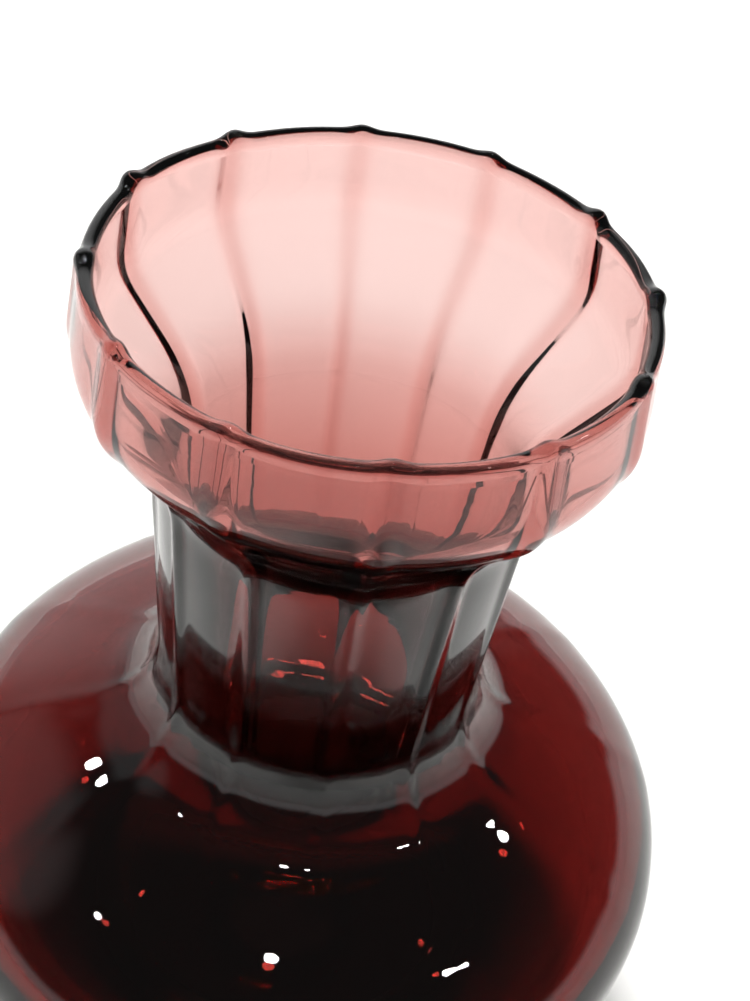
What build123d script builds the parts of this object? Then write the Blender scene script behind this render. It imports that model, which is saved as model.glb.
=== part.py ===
"""Hand-blown amethyst glass bottle with a wide ribbed cup mouth, a stout neck and a squat bulb.

The real vessel is worked from one gather of glass. It is modelled as the sections that a glassmaker
names, each its own closed solid: lip, cup, neck, shoulder, body and base. Neighbours meet face to
face on the flat rings where one section passes into the next.

Millimetres, +Z up, origin on the floor at the centre of the foot.
"""
from build123d import *

import os
from math import atan, cos, degrees, pi, tan

# Heights above the floor
total_height = 140.0        # top of the lip
widest_height = 33.5        # widest level of the bulb, where shoulder passes into body

# Depths below the top of the lip
lip_depth = 2.6             # fire-polished band at the top of the cup
turn_depth = 14.0           # corner where the cup wall turns in
cup_depth = 27.5            # corner where the cup meets the neck

# Radii outside the glass
mouth_radius = 37.0         # lip, measured between two ribs
cup_radius = 38.4           # turn of the cup, measured between two ribs
neck_top_radius = 26.8      # under the cup
neck_low_radius = 24.8      # above the shoulder
body_radius = 61.0
foot_radius = 34.0          # where the heel comes down on the floor
kick_radius = 26.0          # edge of the hollow under the base

# Bulb
shoulder_rise = 28.2        # crown of the bulb above its widest level
kick_rise = 5.0             # depth of the hollow under the base

# Glass thickness
cup_wall = 1.6
neck_wall = 2.2             # under the cup
neck_low_wall = 5.0         # above the shoulder
body_wall = 6.0
base_wall = 12.0

# Rounding of the outside
cup_turn_round = 9.0
cup_foot_round = 16.0
shoulder_round = 15.0
inner_shoulder_round = 7.0  # under the shoulder, where the glass is thickest
lip_round = 0.45            # as a share of the wall

# How the hollow differs from the outside, so that the glass thickens where it was gathered
turn_lift = 0.25            # the turn sits higher inside, by this share of the cup's wall
foot_drop = 0.15            # the cup's foot sits lower inside, by this share of the neck's wall
foot_ease = 3.0             # the cup's foot is rounder inside, by this many times the cup's wall
floor_margin = 1.0          # the base section ends this far above the hollow's floor

# Ribs that the dip mould leaves in the cup and in the bore of the neck
rib_count = 12
rib_turn = 9.5              # degrees from +X round to the first rib
rib_round = 0.38            # roundness of a rib, as a share of the radius that it stands on

# Levels where one section passes into the next
cup_turn_height = total_height - turn_depth
cup_foot_height = total_height - cup_depth
lip_foot = total_height - lip_depth
neck_top = cup_foot_height - cup_foot_round / 2
neck_bottom = widest_height + shoulder_rise + shoulder_round
base_top = base_wall + kick_rise + floor_margin
cup_lean = atan((cup_radius - mouth_radius) / turn_depth)


def block(left, right, low, high):
    """Rectangle between two radii and two heights."""
    return Pos(left, low) * Rectangle(right - left, high - low, align=(Align.MIN, Align.MIN))


def neck_at(height, bore=False):
    """Radius of the tapered neck at a height: its outside, or its bore."""
    top = neck_top_radius - (neck_wall if bore else 0)
    low = neck_low_radius - (neck_low_wall if bore else 0)
    return low + (top - low) * (height - neck_bottom) / (cup_foot_height - neck_bottom)


def rib_height(radius):
    """How far a rib stands out from the flats of a ribbed outline."""
    return (1 - rib_round) * radius * (1 / cos(pi / rib_count) - 1)


def ribbed_outline(radius):
    """Twelve-sided outline with rounded corners on the ribs; radius is measured to its flats."""
    corner = radius / cos(pi / rib_count)
    outline = RegularPolygon(corner, rib_count)
    return Rot(0, 0, rib_turn) * fillet(outline.vertices(), rib_round * radius)


def ribbed_cup(wall):
    """Ribbed block, widest at the foot of the cup and narrowest at the lip, less a wall all round."""
    widest = cup_radius + tan(cup_lean) * (cup_turn_height - neck_top) - wall
    outline = Pos(0, 0, neck_top) * ribbed_outline(widest)
    return extrude(outline, total_height - neck_top, taper=degrees(cup_lean))


def silhouette(hollow=False):
    """Filled half section, radius along X and height along Y: of the glass, or of the hollow inside it."""
    wall, bulb_wall, sole = (cup_wall, body_wall, base_wall) if hollow else (0, 0, 0)
    turn = cup_radius + rib_height(cup_radius) - wall
    turn_height = cup_turn_height + turn_lift * wall
    foot_height = cup_foot_height - (foot_drop * neck_wall if hollow else 0)
    wide = body_radius - bulb_wall
    rise = shoulder_rise - bulb_wall
    neck = neck_at(foot_height, hollow)
    stem = neck_at(widest_height, hollow)
    mouth = Polygon(
        (0, widest_height), (stem, widest_height), (neck, foot_height),
        (turn, turn_height), (turn, total_height), (0, total_height), align=None)
    crown = Pos(0, widest_height) * Ellipse(wide, rise)
    heel = Pos(foot_radius, widest_height) * Ellipse(wide - foot_radius, widest_height - sole)
    upper = crown & block(0, wide, widest_height, total_height)
    flank = heel & block(foot_radius, wide, sole, widest_height)
    lower = flank + block(0, foot_radius, sole, widest_height)
    section = mouth + upper + lower
    shoulder = inner_shoulder_round if hollow else shoulder_round
    section = round_corner(section, (stem, widest_height + rise), shoulder)
    section = round_corner(section, (neck, foot_height), cup_foot_round + foot_ease * wall)
    return round_corner(section, (turn, turn_height), cup_turn_round - wall)


def round_corner(section, corner, radius):
    """Rounds the corner of a section that lies nearest to a given radius and height."""
    vertex = section.vertices().sort_by_distance(Vector(*corner))[0]
    return fillet(vertex, radius)


def band(section, low, high):
    """Solid of revolution of the part of a section between two heights."""
    strip = section & block(0, 2 * body_radius, low, high)
    return revolve(Plane.XZ * strip, Axis.Z)


def kick(extra):
    """Section of the dome that the base is pushed up into, widened by a thickness."""
    sphere = (kick_radius**2 + kick_rise**2) / (2 * kick_rise)
    return Pos(0, kick_rise - sphere) * Circle(sphere + extra)


outside = silhouette() - kick(0)
inside = silhouette(hollow=True) - kick(base_wall)
wall = outside - inside


def make_lip():
    """Fire-polished lip: the rounded top edge of the ribbed cup wall."""
    ring = (band(outside, lip_foot, total_height) & ribbed_cup(0)) - ribbed_cup(cup_wall)
    return fillet(ring.edges().group_by(Axis.Z)[-1], lip_round * cup_wall * cos(cup_lean))


def make_cup():
    """Cup mouth: a ribbed wall that turns in over a rounded edge to the neck."""
    full = band(outside, neck_top, lip_foot) & ribbed_cup(0)
    hollow = band(inside, neck_top, lip_foot) & ribbed_cup(cup_wall)
    return full - hollow


def make_neck():
    """Neck: round outside, with the ribs standing in its bore."""
    low, high = (neck_at(level, bore=True) for level in (neck_bottom, neck_top))
    widening = (high - low) / (neck_top - neck_bottom)
    channel = Pos(0, 0, neck_bottom) * Rot(0, 0, 180 / rib_count) * ribbed_outline(low - rib_height(low))
    return band(outside, neck_bottom, neck_top) - extrude(
        channel, neck_top - neck_bottom, taper=-degrees(atan(widening)))


sections = {
    "lip_rim": make_lip(),
    "cup_mouth": make_cup(),
    "neck": make_neck(),
    "shoulder": band(wall, widest_height, neck_bottom),
    "bulb_body": band(wall, base_top, widest_height),
    "punt_base": band(wall, 0, base_top),
}

os.makedirs("parts", exist_ok=True)
for name, section in sections.items():
    export_step(section, f"parts/{name}.step")
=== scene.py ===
import math

import bpy
from mathutils import Matrix, Vector


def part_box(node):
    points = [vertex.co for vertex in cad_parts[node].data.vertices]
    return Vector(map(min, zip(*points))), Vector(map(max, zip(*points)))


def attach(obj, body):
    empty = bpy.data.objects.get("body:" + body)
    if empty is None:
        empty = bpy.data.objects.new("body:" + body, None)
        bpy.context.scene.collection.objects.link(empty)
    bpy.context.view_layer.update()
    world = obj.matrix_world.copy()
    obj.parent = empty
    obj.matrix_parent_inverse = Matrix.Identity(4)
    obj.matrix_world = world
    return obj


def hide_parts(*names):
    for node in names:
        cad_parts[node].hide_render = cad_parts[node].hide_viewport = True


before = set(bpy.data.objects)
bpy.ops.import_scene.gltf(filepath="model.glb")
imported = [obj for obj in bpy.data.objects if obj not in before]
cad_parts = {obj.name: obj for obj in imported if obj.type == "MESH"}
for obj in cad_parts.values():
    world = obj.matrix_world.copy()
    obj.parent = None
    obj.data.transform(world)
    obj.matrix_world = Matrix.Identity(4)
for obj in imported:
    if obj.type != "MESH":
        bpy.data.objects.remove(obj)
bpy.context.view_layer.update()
mm = 0.001
print("frame loaded:", sorted(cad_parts))

# Levels and outer sizes come from the frame's sections
lipLow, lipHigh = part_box("lip_rim")
neckLow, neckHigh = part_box("neck")
bodyLow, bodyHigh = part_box("bulb_body")
baseLow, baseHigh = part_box("punt_base")
level = {
    "lipTop": lipHigh.z,
    "lipFoot": lipLow.z,
    "neckTop": neckHigh.z,
    "neckBottom": neckLow.z,
    "widest": bodyHigh.z,
    "baseTop": baseHigh.z,
    "floor": baseLow.z,
}
bodyRadius = (bodyHigh.x - bodyLow.x) / 2

vessel = {  # millimetres
    "mouthRadius": 37.0,  # lip, between two ribs
    "bellyRadius": 38.4,  # widest part of the cup
    "turnDepth": 14.0,  # from the lip down to where the cup turns in
    "cupDepth": 27.5,  # from the lip down to where the cup meets the neck
    "neckTopRadius": 26.8,
    "neckLowRadius": 24.8,
    "crownRise": 28.2,  # crown of the bulb above its widest level
    "footRadius": 34.0,
    "kickRadius": 26.0,
    "kickRise": 5.0,
    "cupWall": 1.6,
    "neckWall": 2.2,  # under the cup
    "neckLowWall": 5.0,  # above the shoulder
    "bulbWall": 6.0,
    "soleWall": 12.0,
    "beadOut": 0.05,  # the thickened lip stands out on the outside
    "beadIn": 0.5,  # and on the inside
    "beadDepth": 2.4,
    "turnRound": 9.0,
    "cupFootRound": 16.0,
    "shoulderRound": 15.0,
    "innerShoulderRound": 7.0,
}

hollow = {  # how the inside differs from the outside
    "turnLift": 0.25,  # share of the cup's wall that the turn sits higher
    "footDrop": 0.15,  # share of the neck's wall that the cup's foot sits lower
    "footEase": 3.0,  # times the cup's wall that the cup's foot is rounder
}

ribs = {
    "count": 12,  # ribs left by the dip mould
    "turn": 9.5,  # degrees from +X to the first rib
    "width": 2.7,  # degrees to where a rib has sunk to a third
    "height": 0.8,  # millimetres
    "lipRise": 0.7,  # millimetres that the lip lifts on a rib
    "innerShare": 0.35,  # share of a rib that stands inside the wall
    "weakest": 0.65,
    "strongest": 1.35,
    "seed": 38,
}

ribShares = {  # of a rib's full height, level by level
    "widest": 0.0,
    "neckBottom": 0.6,
    "cupFoot": 1.0,
    "cupTurn": 0.75,
    "aboveLip": 0.5,
}

wobble = {  # millimetres: unevenness left by hand blowing
    "amount": 0.25,
    "size": 24.0,
    "calmRadius": 20.0,  # it fades out from here to the axis
    "lipDepth": 8.0,  # how far down the lip's lift reaches
}

fineness = {  # how finely the outlines are drawn
    "sides": 360,
    "step": 0.6,  # millimetres
    "corner": 16,
    "sweep": 30,
    "crown": 70,
    "dome": 24,
    "lip": 14,
    "softening": 10,
    "halvings": 50,
    "crownSearch": (10, 89),  # degrees up the crown between which its blend into the neck starts
    "sharpAngle": 40,  # degrees: an edge sharper than this isn't smoothed over
}

fadeRoom = 5.0 * mm  # the last level of ribShares lies this far above the lip
gap = 0.001 * mm  # neighbouring sections stop this far short of the cut
onCutWithin = 1e-7  # metres


def arcPoints(centre, start, end, count):  # the short way round from start to end
    a, b = start - centre, end - centre
    turn = a.angle(b)
    shares = [k / count for k in range(count + 1)]
    return [centre + (a * math.sin(turn * (1 - t)) + b * math.sin(turn * t)) / math.sin(turn) for t in shares]


def cornerArc(before, corner, after, radius):  # rounds one corner of an outline
    toBefore, toAfter = (before - corner).normalized(), (after - corner).normalized()
    half = toBefore.angle(toAfter) / 2
    reach = radius / math.tan(half)
    centre = corner + (toBefore + toAfter).normalized() * (radius / math.sin(half))
    return arcPoints(centre, corner + toBefore * reach, corner + toAfter * reach, fineness["corner"])


def ellipseArc(centre, width, height, start, end):
    count = fineness["crown"]
    angles = [math.radians(start + (end - start) * k / count) for k in range(count + 1)]
    return [centre + Vector((width * math.cos(a), height * math.sin(a))) for a in angles]


def crownBlend(stem, slope, centre, wide, rise, radius):
    # rounds the inner corner between the tapered neck and the crown of the bulb with a rolling ball
    away = Vector((1, -slope)).normalized()
    low, high = (math.radians(angle) for angle in fineness["crownSearch"])
    for _ in range(fineness["halvings"]):
        angle = (low + high) / 2
        out = Vector((math.cos(angle) / wide, math.sin(angle) / rise)).normalized()
        ball = centre + Vector((wide * math.cos(angle), rise * math.sin(angle))) + out * radius
        if (ball - stem).dot(away) > radius:
            low = angle
        else:
            high = angle
    return arcPoints(ball, ball - away * radius, ball - out * radius, fineness["sweep"]), angle


def wallLine(cupOff, neckOff, stemOff, bulbOff, sole):
    # outline of one face of the glass from the lip down to the foot, as (radius, height)
    v = {key: value * mm for key, value in vessel.items()}
    top, widest = level["lipTop"], level["widest"]
    turn = Vector((v["bellyRadius"] - cupOff, top - v["turnDepth"] + hollow["turnLift"] * cupOff))
    foot = Vector((v["neckTopRadius"] - neckOff, top - v["cupDepth"] - hollow["footDrop"] * neckOff))
    lip = Vector((v["mouthRadius"] - cupOff, top))
    stem = Vector((v["neckLowRadius"] - stemOff, level["neckBottom"]))
    slope = (foot.x - stem.x) / (foot.y - stem.y)
    wide, rise = bodyRadius - bulbOff, v["crownRise"] - bulbOff
    centre = Vector((0, widest))
    shoulder = v["innerShoulderRound" if stemOff else "shoulderRound"]
    sweep, meet = crownBlend(stem, slope, centre, wide, rise, shoulder)
    line = [lip] + cornerArc(lip, turn, foot, v["turnRound"] - cupOff)
    line += cornerArc(turn, foot, stem, v["cupFootRound"] + hollow["footEase"] * cupOff)
    line += sweep
    line += ellipseArc(centre, wide, rise, math.degrees(meet), 0)
    heel = Vector((v["footRadius"], widest))
    line += ellipseArc(heel, wide - v["footRadius"], widest - level["floor"] - sole, 0, -90)
    return line


def evenSteps(line):  # the same outline with evenly spaced points
    gaps = [(b - a).length for a, b in zip(line, line[1:])]
    total = sum(gaps)
    count = max(2, round(total / (fineness["step"] * mm)))
    out, k, done = [line[0]], 0, 0.0
    for n in range(1, count):
        want = total * n / count
        while done + gaps[k] < want:
            done += gaps[k]
            k += 1
        out.append(line[k].lerp(line[k + 1], (want - done) / gaps[k]))
    return out + [line[-1]]


def softened(line):  # eases the change from one arc to the next, as blown glass does
    for _ in range(fineness["softening"]):
        middle = [(a + 2 * b + c) / 4 for a, b, c in zip(line, line[1:], line[2:])]
        line = [line[0]] + middle + [line[-1]]
    return line


def between(line, low, high):  # the part of an outline between two heights, from high to low
    out = []
    for a, b in zip(line, line[1:]):
        for height in (high, low):
            if (a.y - height) * (b.y - height) < 0:
                out.append(a.lerp(b, (height - a.y) / (b.y - a.y)))
        if low < b.y < high:
            out.append(b)
    return out


def fade(height):  # ribs are strongest in the funnel, blown flatter in the cup and gone at the widest level
    marks = [
        (level["widest"], ribShares["widest"]),
        (level["neckBottom"], ribShares["neckBottom"]),
        (level["lipTop"] - vessel["cupDepth"] * mm, ribShares["cupFoot"]),
        (level["lipTop"] - vessel["turnDepth"] * mm, ribShares["cupTurn"]),
        (level["lipTop"] + fadeRoom, ribShares["aboveLip"]),
    ]
    for (low, lowShare), (high, highShare) in zip(marks, marks[1:]):
        if height < high:
            return lowShare + (highShare - lowShare) * max(0.0, height - low) / (high - low)


wall = {key: vessel[key] * mm for key in ("cupWall", "neckWall", "neckLowWall", "bulbWall", "soleWall")}
outerLine = softened(evenSteps(wallLine(0, 0, 0, 0, 0)))
innerLine = softened(evenSteps(wallLine(*wall.values())))


def ring(low, high):  # closed outline of one band of the wall
    outer = [(p, 1.0) for p in between(outerLine, low + gap, high - gap)]
    inner = [(p, -ribs["innerShare"]) for p in between(innerLine, low + gap, high - gap)]
    return outer + inner[::-1] + outer[:1]


def lipOutline():  # the wall's band, swollen into a bead and closed over the top by fire polishing
    def swollen(line, bead, share):
        out = []
        for p in line:
            down = (crest - p.y) / (vessel["beadDepth"] * mm)
            swell = max(0.0, math.cos(math.pi / 2 * min(1.0, abs(down)))) ** 2
            out.append((p + Vector((bead * mm * swell, 0)), share))
        return out

    half = (wall["cupWall"] + (vessel["beadOut"] + vessel["beadIn"]) * mm) / 2
    crest = level["lipTop"] - half
    low = level["lipFoot"] + gap
    outer = swollen(between(outerLine, low, crest), vessel["beadOut"], 1.0)
    inner = swollen(between(innerLine, low, crest), -vessel["beadIn"], -ribs["innerShare"])
    middle, turns = (inner[0][0] + outer[0][0]) / 2, fineness["lip"]
    over = []
    for k in range(1, turns):
        angle = math.pi * (1 - k / turns)
        spot = middle + Vector((math.cos(angle), math.sin(angle))) * half
        over.append((spot, ribs["innerShare"] * (k / turns - 1) + k / turns))
    return outer + inner[::-1] + over + outer[:1]


def baseOutline():  # from the axis under the base, out round the heel and back in over the floor
    kickRadius, kickRise = vessel["kickRadius"] * mm, vessel["kickRise"] * mm
    sphere = (kickRadius ** 2 + kickRise ** 2) / (2 * kickRise)
    spread = math.asin(kickRadius / sphere)
    middle = Vector((0, level["floor"] + kickRise - sphere))
    angles = [spread * k / fineness["dome"] for k in range(fineness["dome"] + 1)]
    dome = [Vector((math.sin(a), math.cos(a))) for a in angles]
    under = [middle + p * sphere for p in dome]
    floor = [middle + p * (sphere + wall["soleWall"]) for p in dome]
    outer = between(outerLine, level["floor"] - mm, level["baseTop"] - gap)
    inner = between(innerLine, level["floor"], level["baseTop"] - gap)
    line = under + outer[::-1] + inner + floor[::-1]
    return [(p, 0.0) for p in line]


cuts = [level[key] + side * gap for key in ("lipFoot", "neckTop", "neckBottom", "widest", "baseTop")
        for side in (-1, 1)]
outlines = {
    "glassLip": ("lip_rim", lipOutline()),
    "glassCup": ("cup_mouth", ring(level["neckTop"], level["lipFoot"])),
    "glassNeck": ("neck", ring(level["neckBottom"], level["neckTop"])),
    "glassShoulder": ("shoulder", ring(level["widest"], level["neckBottom"])),
    "glassBulb": ("bulb_body", ring(level["baseTop"], level["widest"])),
    "glassBase": ("punt_base", baseOutline()),
}


def addNode(tree, kind, inputs=None, **settings):
    # an input is given a value, a socket or a node, which stands for its first output
    node = tree.nodes.new(kind)
    for name, value in settings.items():
        setattr(node, name, value)
    for key, value in (inputs or {}).items():
        if isinstance(value, bpy.types.Node):
            value = value.outputs[0]
        if isinstance(value, bpy.types.NodeSocket):
            tree.links.new(value, node.inputs[key])
        else:
            node.inputs[key].default_value = value
    return node


def blownTree():
    # turns an outline round the axis, raises the ribs and makes the wall a little uneven
    tree = bpy.data.node_groups.new("blownGlass", "GeometryNodeTree")
    face = tree.interface
    face.new_socket("Outline", in_out="INPUT", socket_type="NodeSocketGeometry")
    for name, kind in (("Sides", "Int"), ("Rib Count", "Int"), ("First Rib", "Float"), ("Rib Width", "Float"),
                       ("Rib Height", "Float"), ("Lip Rise", "Float"), ("Lip Level", "Float"),
                       ("Lip Depth", "Float"), ("Wobble", "Float"), ("Wobble Size", "Float"), ("Seed", "Int"),
                       ("Material", "Material")):
        face.new_socket(name, in_out="INPUT", socket_type="NodeSocket" + kind)
    face.new_socket("Glass", in_out="OUTPUT", socket_type="NodeSocketGeometry")
    given = addNode(tree, "NodeGroupInput").outputs

    calc = "ShaderNodeMath"
    size = addNode(tree, "GeometryNodeAttributeDomainSize", {0: given["Outline"]}).outputs["Point Count"]
    columns = addNode(tree, calc, {0: given["Sides"], 1: 1}, operation="ADD")
    rows = addNode(tree, calc, {0: size, 1: 1}, operation="SUBTRACT")
    grid = addNode(tree, "GeometryNodeMeshGrid",
                   {"Size X": 2 * math.pi, "Size Y": rows, "Vertices X": columns, "Vertices Y": size})
    place = addNode(tree, "GeometryNodeInputPosition")
    flat = addNode(tree, "ShaderNodeSeparateXYZ", {0: place}).outputs
    angle = addNode(tree, calc, {0: flat["X"], 1: math.pi}, operation="ADD")
    halfRows = addNode(tree, calc, {0: rows, 1: 0.5}, operation="MULTIPLY")
    rowLevel = addNode(tree, calc, {0: flat["Y"], 1: halfRows}, operation="ADD")
    row = addNode(tree, calc, {0: rowLevel}, operation="ROUND")

    # what the outline says of this row: its radius and height, its share of a rib, and if it is on a cut
    point = addNode(tree, "GeometryNodeSampleIndex",
                    {0: given["Outline"], "Value": place, "Index": row}, data_type="FLOAT_VECTOR")
    drawn = addNode(tree, "ShaderNodeSeparateXYZ", {0: point}).outputs
    share = addNode(tree, "GeometryNodeInputNamedAttribute", {"Name": "ribShare"}, data_type="FLOAT")
    ribShare = addNode(tree, "GeometryNodeSampleIndex",
                       {0: given["Outline"], "Value": share, "Index": row}, data_type="FLOAT")
    cut = addNode(tree, "GeometryNodeInputNamedAttribute", {"Name": "seam"}, data_type="FLOAT")
    onCut = addNode(tree, "GeometryNodeSampleIndex",
                    {0: given["Outline"], "Value": cut, "Index": row}, data_type="FLOAT")

    # how strongly this spot lies on a rib
    pitch = addNode(tree, calc, {0: 2 * math.pi, 1: given["Rib Count"]}, operation="DIVIDE")
    fromFirst = addNode(tree, calc, {0: angle, 1: given["First Rib"]}, operation="SUBTRACT")
    phase = addNode(tree, calc, {0: fromFirst, 1: pitch}, operation="DIVIDE")
    rib = addNode(tree, calc, {0: phase}, operation="ROUND")
    offPhase = addNode(tree, calc, {0: phase, 1: rib}, operation="SUBTRACT")
    off = addNode(tree, calc, {0: offPhase, 1: pitch}, operation="MULTIPLY")
    widths = addNode(tree, calc, {0: off, 1: given["Rib Width"]}, operation="DIVIDE")
    spread = addNode(tree, calc, {0: widths, 1: 2.0}, operation="POWER")
    falling = addNode(tree, calc, {0: spread, 1: -1.0}, operation="MULTIPLY")
    bell = addNode(tree, calc, {0: falling}, operation="EXPONENT")
    ribNumber = addNode(tree, calc, {0: rib, 1: given["Rib Count"]}, operation="FLOORED_MODULO")
    strength = addNode(tree, "FunctionNodeRandomValue", {
        "Min": ribs["weakest"], "Max": ribs["strongest"], "ID": ribNumber, "Seed": given["Seed"]},
        data_type="FLOAT").outputs["Value"]
    ridge = addNode(tree, calc, {0: bell, 1: strength}, operation="MULTIPLY")

    # unevenness that follows the spot in space, so that neighbouring sections still meet
    cosine = addNode(tree, calc, {0: angle}, operation="COSINE")
    sine = addNode(tree, calc, {0: angle}, operation="SINE")
    drawnX = addNode(tree, calc, {0: drawn["X"], 1: cosine}, operation="MULTIPLY")
    drawnY = addNode(tree, calc, {0: drawn["X"], 1: sine}, operation="MULTIPLY")
    around = addNode(tree, "ShaderNodeCombineXYZ", {"X": drawnX, "Y": drawnY, "Z": drawn["Z"]})
    scale = addNode(tree, calc, {0: 1.0, 1: given["Wobble Size"]}, operation="DIVIDE")
    noise = addNode(tree, "ShaderNodeTexNoise", {"Vector": around, "Scale": scale, "Detail": 1.0},
                    noise_dimensions="3D").outputs["Color"]
    tremble = addNode(tree, "ShaderNodeSeparateXYZ", {0: noise}).outputs
    fromAxis = addNode(tree, "ShaderNodeMapRange", {
        "Value": drawn["X"], "From Min": 0.0, "From Max": wobble["calmRadius"] * mm})

    # outwards: the rib and the unevenness
    ribPush = addNode(tree, calc, {0: ridge, 1: ribShare}, operation="MULTIPLY")
    raised = addNode(tree, calc, {0: ribPush, 1: given["Rib Height"]}, operation="MULTIPLY")
    sway = addNode(tree, calc, {0: tremble["X"], 1: 0.5}, operation="SUBTRACT")
    calmSway = addNode(tree, calc, {0: sway, 1: fromAxis}, operation="MULTIPLY")
    swayReach = addNode(tree, calc, {0: given["Wobble"], 1: 2.0}, operation="MULTIPLY")
    uneven = addNode(tree, calc, {0: calmSway, 1: swayReach}, operation="MULTIPLY")
    push = addNode(tree, calc, {0: raised, 1: uneven}, operation="ADD")
    radius = addNode(tree, calc, {0: drawn["X"], 1: push}, operation="ADD")

    # upwards, near the lip only
    lipStart = addNode(tree, calc, {0: given["Lip Level"], 1: given["Lip Depth"]}, operation="SUBTRACT")
    nearLip = addNode(tree, "ShaderNodeMapRange", {
        "Value": drawn["Z"], "From Min": lipStart, "From Max": given["Lip Level"]},
        interpolation_type="SMOOTHSTEP")
    ribLift = addNode(tree, calc, {0: ridge, 1: given["Lip Rise"]}, operation="MULTIPLY")
    bob = addNode(tree, calc, {0: tremble["Y"], 1: 0.5}, operation="SUBTRACT")
    bobReach = addNode(tree, calc, {0: given["Wobble"], 1: 4.0}, operation="MULTIPLY")
    unevenLift = addNode(tree, calc, {0: bob, 1: bobReach}, operation="MULTIPLY")
    bothLifts = addNode(tree, calc, {0: ribLift, 1: unevenLift}, operation="ADD")
    lift = addNode(tree, calc, {0: nearLip, 1: bothLifts}, operation="MULTIPLY")
    height = addNode(tree, calc, {0: drawn["Z"], 1: lift}, operation="ADD")

    movedX = addNode(tree, calc, {0: radius, 1: cosine}, operation="MULTIPLY")
    movedY = addNode(tree, calc, {0: radius, 1: sine}, operation="MULTIPLY")
    moved = addNode(tree, "ShaderNodeCombineXYZ", {"X": movedX, "Y": movedY, "Z": height})

    # a face lies on a cut when all its corners do
    cornerShare = addNode(tree, "GeometryNodeFieldOnDomain", {0: onCut}, data_type="FLOAT", domain="POINT")
    wholeFace = addNode(tree, calc, {0: cornerShare, 1: 0.75}, operation="GREATER_THAN")
    marked = addNode(tree, "GeometryNodeStoreNamedAttribute",
                     {"Geometry": grid, "Name": "seam", "Value": wholeFace}, data_type="FLOAT", domain="FACE")
    shaped = addNode(tree, "GeometryNodeSetPosition", {"Geometry": marked, "Position": moved})
    joined = addNode(tree, "GeometryNodeMergeByDistance", {"Geometry": shaped, "Distance": 1e-6})
    smooth = addNode(tree, "GeometryNodeSetShadeSmooth", {"Geometry": joined, "Shade Smooth": True})
    real = addNode(tree, "GeometryNodeRealizeInstances", {"Geometry": smooth})
    coated = addNode(tree, "GeometryNodeSetMaterial", {"Geometry": real, "Material": given["Material"]})
    addNode(tree, "NodeGroupOutput", {"Glass": coated})
    return tree


def linear(hexColour):  # sRGB hex to linear RGBA
    parts = [int(hexColour[k:k + 2], 16) / 255 for k in (1, 3, 5)]
    return (*[c / 12.92 if c <= 0.04045 else ((c + 0.055) / 1.055) ** 2.4 for c in parts], 1.0)


glass = {
    "ior": 1.52,
    "tint": "#DC9184",  # what is left of white light after a thin layer
    "density": 520.0,  # per metre
    "cordWidth": 16.7,  # millimetres: faint streaks left in the glass by gathering
    "cordHeight": 5.0,
    "cordDepth": 0.2,
    "cordStrength": 0.12,
}


def amethystGlass(name):
    # soda-lime glass coloured with manganese, blown and fire polished:
    # clear and glossy, pale where it is thin and nearly black where it is thick
    material = bpy.data.materials.new(name)
    material.use_nodes = True
    tree = material.node_tree
    tree.nodes.clear()
    place = addNode(tree, "ShaderNodeTexCoord").outputs["Object"]
    across, along = 1 / (glass["cordWidth"] * mm), 1 / (glass["cordHeight"] * mm)
    streaks = addNode(tree, "ShaderNodeMapping", {"Vector": place, "Scale": (across, across, along)})
    cords = addNode(tree, "ShaderNodeTexNoise", {"Vector": streaks, "Scale": 1.0, "Detail": 2.0})
    bump = addNode(tree, "ShaderNodeBump", {
        "Height": cords, "Strength": glass["cordStrength"], "Distance": glass["cordDepth"] * mm})
    glassy = addNode(tree, "ShaderNodeBsdfPrincipled", {
        "Base Color": (1, 1, 1, 1), "Roughness": 0.0, "IOR": glass["ior"], "Transmission Weight": 1.0,
        "Normal": bump})
    seam = addNode(tree, "ShaderNodeAttribute", attribute_name="seam").outputs["Fac"]
    clear = addNode(tree, "ShaderNodeBsdfTransparent")
    # where two sections of the one vessel meet, light goes straight on
    shader = addNode(tree, "ShaderNodeMixShader", {0: seam, 1: glassy, 2: clear})
    inside = addNode(tree, "ShaderNodeVolumeAbsorption",
                     {"Color": linear(glass["tint"]), "Density": glass["density"]})
    addNode(tree, "ShaderNodeOutputMaterial", {"Surface": shader, "Volume": inside})
    return material


def signedVolume(mesh):
    total = 0.0
    for face in mesh.polygons:
        corners = [mesh.vertices[v].co for v in face.vertices]
        for a, b in zip(corners[1:], corners[2:]):
            total += corners[0].dot(a.cross(b)) / 6
    return total


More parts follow.
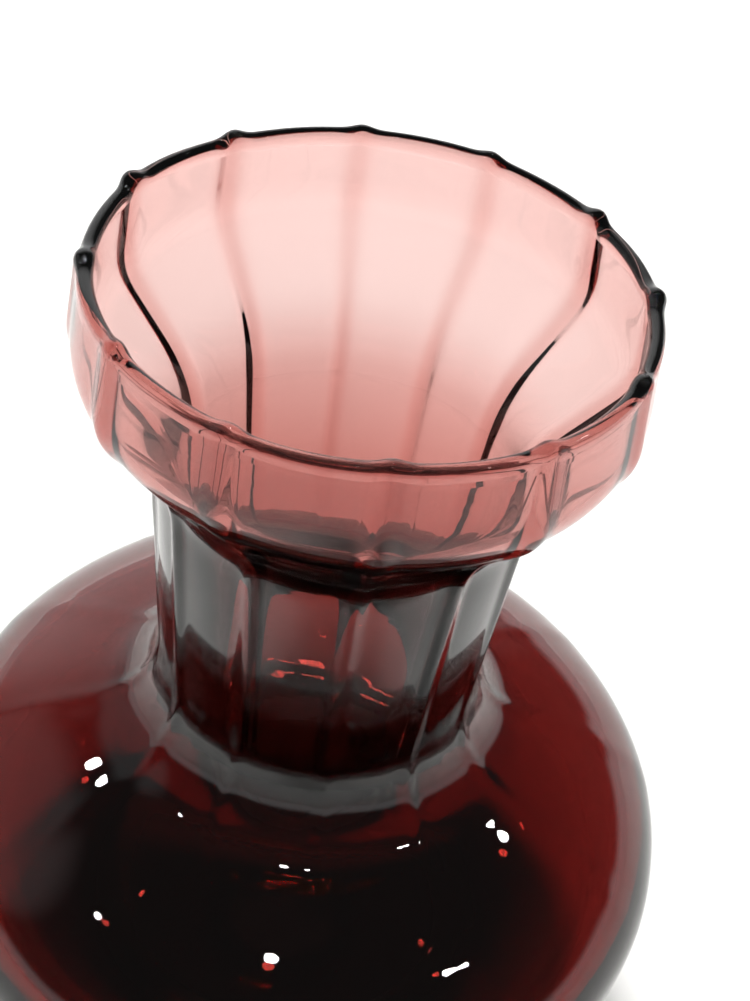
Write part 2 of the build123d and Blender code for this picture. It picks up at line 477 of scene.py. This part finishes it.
def blow(name, outline, material):
    # an outline of points becomes a closed glass section
    drawn = bpy.data.meshes.new(name + "Outline")
    drawn.from_pydata([(p.x, 0, p.y) for p, _ in outline], [(k, k + 1) for k in range(len(outline) - 1)], [])
    share = drawn.attributes.new("ribShare", "FLOAT", "POINT")
    share.data.foreach_set("value", [part * fade(p.y) for p, part in outline])
    seams = drawn.attributes.new("seam", "FLOAT", "POINT")
    fromCut = [min(abs(p.y - cut) for cut in cuts) for p, _ in outline]
    seams.data.foreach_set("value", [float(away < onCutWithin) for away in fromCut])
    maker = bpy.data.objects.new(name + "Outline", drawn)
    bpy.context.collection.objects.link(maker)
    modifier = maker.modifiers.new("blown", "NODES")
    modifier.node_group = glassTree
    values = {
        "Sides": fineness["sides"], "Rib Count": ribs["count"], "First Rib": math.radians(ribs["turn"]),
        "Rib Width": math.radians(ribs["width"]), "Rib Height": ribs["height"] * mm,
        "Lip Rise": ribs["lipRise"] * mm, "Lip Level": level["lipTop"], "Lip Depth": wobble["lipDepth"] * mm,
        "Wobble": wobble["amount"] * mm, "Wobble Size": wobble["size"] * mm, "Seed": ribs["seed"],
        "Material": material}
    for socket in glassTree.interface.items_tree:
        if socket.in_out == "INPUT" and socket.name in values:
            modifier[socket.identifier] = values[socket.name]
    bpy.context.view_layer.update()
    evaluated = maker.evaluated_get(bpy.context.evaluated_depsgraph_get())
    mesh = bpy.data.meshes.new_from_object(evaluated)
    mesh.name = name
    if signedVolume(mesh) < 0:
        mesh.flip_normals()
    mesh.set_sharp_from_angle(angle=math.radians(fineness["sharpAngle"]))
    piece = bpy.data.objects.new(name, mesh)
    bpy.context.collection.objects.link(piece)
    maker.modifiers.remove(modifier)
    bpy.data.objects.remove(maker)
    bpy.data.meshes.remove(drawn)
    return piece


print("cuts between the sections:", len(cuts) // 2)
glassTree = blownTree()
amethyst = amethystGlass("amethystGlass")
for name, (node, outline) in outlines.items():
    piece = blow(name, outline, amethyst)
    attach(piece, "root")
    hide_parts(node)
    print(name, len(outline), "points,", len(piece.data.polygons), "faces, volume",
          round(signedVolume(piece.data) * 1e9), "mm3")

# Floor and surround
studio = {
    "floorColour": "#F4F3F0",
    "floorRoughness": 0.6,
    "floorRadius": 1.6,  # metres
    "floorCorners": 96,
    # softboxes: azimuth and elevation in degrees, distance and width in metres, watts
    "backSoftbox": (100, 40, 3.0, 1.0, 132),
    "frontSoftbox": (-80, 45, 3.5, 1.0, 30),
    "wallLight": 1.0,
    "wallTop": (0.04, 0.14),  # sine of the elevation where the white walls start to end, and end
    "ceilingLight": 0.09,
    "backdrop": (-0.3, 0.95, 0.2),  # direction of the middle of the white sheet behind the bottle
    "backdropEdge": (0.72, 0.93),  # cosine of the angle from that direction, at its rim and where it is full
    "window": (-1.0, 0.15, 0.45),  # direction of a dull window on the left
    "windowEdge": (0.88, 0.95),
    "windowLight": 0.35,
}

ceilingLamps = {  # a plain grid of small lamps over the table, lengths in metres
    "columns": 3,
    "rows": 2,
    "spacing": 1.6,
    "height": 2.0,
    "width": 0.1,
    "watts": 1.5,
}


def paleFloor():
    # matt white laminate table top
    material = bpy.data.materials.new("paleTable")
    material.use_nodes = True
    shader = material.node_tree.nodes["Principled BSDF"]
    shader.inputs["Base Color"].default_value = linear(studio["floorColour"])
    shader.inputs["Roughness"].default_value = studio["floorRoughness"]
    radius, corners = studio["floorRadius"], studio["floorCorners"]
    edge = [2 * math.pi * k / corners for k in range(corners)]
    mesh = bpy.data.meshes.new("floor")
    mesh.from_pydata([(radius * math.cos(a), radius * math.sin(a), 0) for a in edge], [], [range(corners)])
    mesh.materials.append(material)
    floor = bpy.data.objects.new("floor", mesh)
    bpy.context.collection.objects.link(floor)


paleFloor()


def surround():
    # white walls low down, a tall white sheet behind, a dull window on the left and a dim ceiling
    world = bpy.data.worlds.new("studio")
    bpy.context.scene.world = world
    world.use_nodes = True
    tree = world.node_tree
    tree.nodes.clear()
    facing = addNode(tree, "ShaderNodeTexCoord").outputs["Generated"]
    up = addNode(tree, "ShaderNodeSeparateXYZ", {0: facing}).outputs["Z"]
    walls = addNode(tree, "ShaderNodeMapRange", {
        "Value": up, "From Min": studio["wallTop"][0], "From Max": studio["wallTop"][1],
        "To Min": 1.0, "To Max": 0.0}, interpolation_type="SMOOTHSTEP")
    toSheet = Vector(studio["backdrop"]).normalized()
    near = addNode(tree, "ShaderNodeVectorMath", {0: facing, 1: toSheet}, operation="DOT_PRODUCT")
    sheet = addNode(tree, "ShaderNodeMapRange", {
        "Value": near.outputs["Value"], "From Min": studio["backdropEdge"][0],
        "From Max": studio["backdropEdge"][1]}, interpolation_type="SMOOTHSTEP")
    toWindow = Vector(studio["window"]).normalized()
    side = addNode(tree, "ShaderNodeVectorMath", {0: facing, 1: toWindow}, operation="DOT_PRODUCT")
    window = addNode(tree, "ShaderNodeMapRange", {
        "Value": side.outputs["Value"], "From Min": studio["windowEdge"][0],
        "From Max": studio["windowEdge"][1], "To Max": studio["windowLight"]},
        interpolation_type="SMOOTHSTEP")
    bright = addNode(tree, "ShaderNodeMath", {0: walls, 1: sheet}, operation="MAXIMUM")
    white = addNode(tree, "ShaderNodeMath", {0: bright, 1: window}, operation="MAXIMUM")
    light = addNode(tree, "ShaderNodeMapRange", {
        "Value": white, "To Min": studio["ceilingLight"], "To Max": studio["wallLight"]})
    shade = addNode(tree, "ShaderNodeBackground", {"Color": (1, 1, 1, 1), "Strength": light})
    addNode(tree, "ShaderNodeOutputWorld", {"Surface": shade})


surround()


def softbox(name, azimuth, elevation, distance, width, watts):
    # lights the table and throws a soft shadow; kept out of the glass, which mirrors the room instead
    a, e = math.radians(azimuth), math.radians(elevation)
    away = Vector((math.cos(a) * math.cos(e), math.sin(a) * math.cos(e), math.sin(e)))
    light = lamp(name, away * distance, width, watts)
    light.visible_glossy = False
    light.visible_transmission = False


def lamp(name, place, width, watts):
    # a round lamp aimed at the foot of the bottle
    data = bpy.data.lights.new(name, "AREA")
    data.shape, data.size, data.energy = "DISK", width, watts
    light = bpy.data.objects.new(name, data)
    bpy.context.collection.objects.link(light)
    light.location = place
    light.rotation_euler = place.to_track_quat("Z", "Y").to_euler()
    return light


for name in ("backSoftbox", "frontSoftbox"):
    softbox(name, *studio[name])
for row in range(ceilingLamps["rows"]):
    for column in range(ceilingLamps["columns"]):
        across = (column - (ceilingLamps["columns"] - 1) / 2) * ceilingLamps["spacing"]
        along = (row - (ceilingLamps["rows"] - 1) / 2) * ceilingLamps["spacing"]
        lamp(f"ceilingLamp{row}{column}", Vector((across, along, ceilingLamps["height"])),
             ceilingLamps["width"], ceilingLamps["watts"])
print("lit by two softboxes and", ceilingLamps["rows"] * ceilingLamps["columns"], "ceiling lamps")

# Camera: looks down into the cup from the front, tilted a little
camera = {
    "place": (4.6, -167.9, 114.5),  # millimetres from the centre of the lip
    "elevation": 42.2,
    "roll": 9.66,
    "lens": 57.5,
}


def placeCamera():
    data = bpy.data.cameras.new("camera")
    data.lens = camera["lens"]
    data.clip_start, data.clip_end = 0.005, 20
    eye = bpy.data.objects.new("camera", data)
    bpy.context.collection.objects.link(eye)
    tilt, roll = math.radians(camera["elevation"]), math.radians(camera["roll"])
    back = Vector((0, -math.cos(tilt), math.sin(tilt)))
    side = Vector((1, 0, 0))
    up = back.cross(side)
    right = side * math.cos(roll) + up * math.sin(roll)
    top = up * math.cos(roll) - side * math.sin(roll)
    place = Vector(camera["place"]) * mm + Vector((0, 0, level["lipTop"]))
    eye.matrix_world = Matrix((right, top, back)).transposed().to_4x4()
    eye.location = place
    bpy.context.scene.camera = eye


placeCamera()
bpy.context.scene.view_settings.view_transform = "Standard"
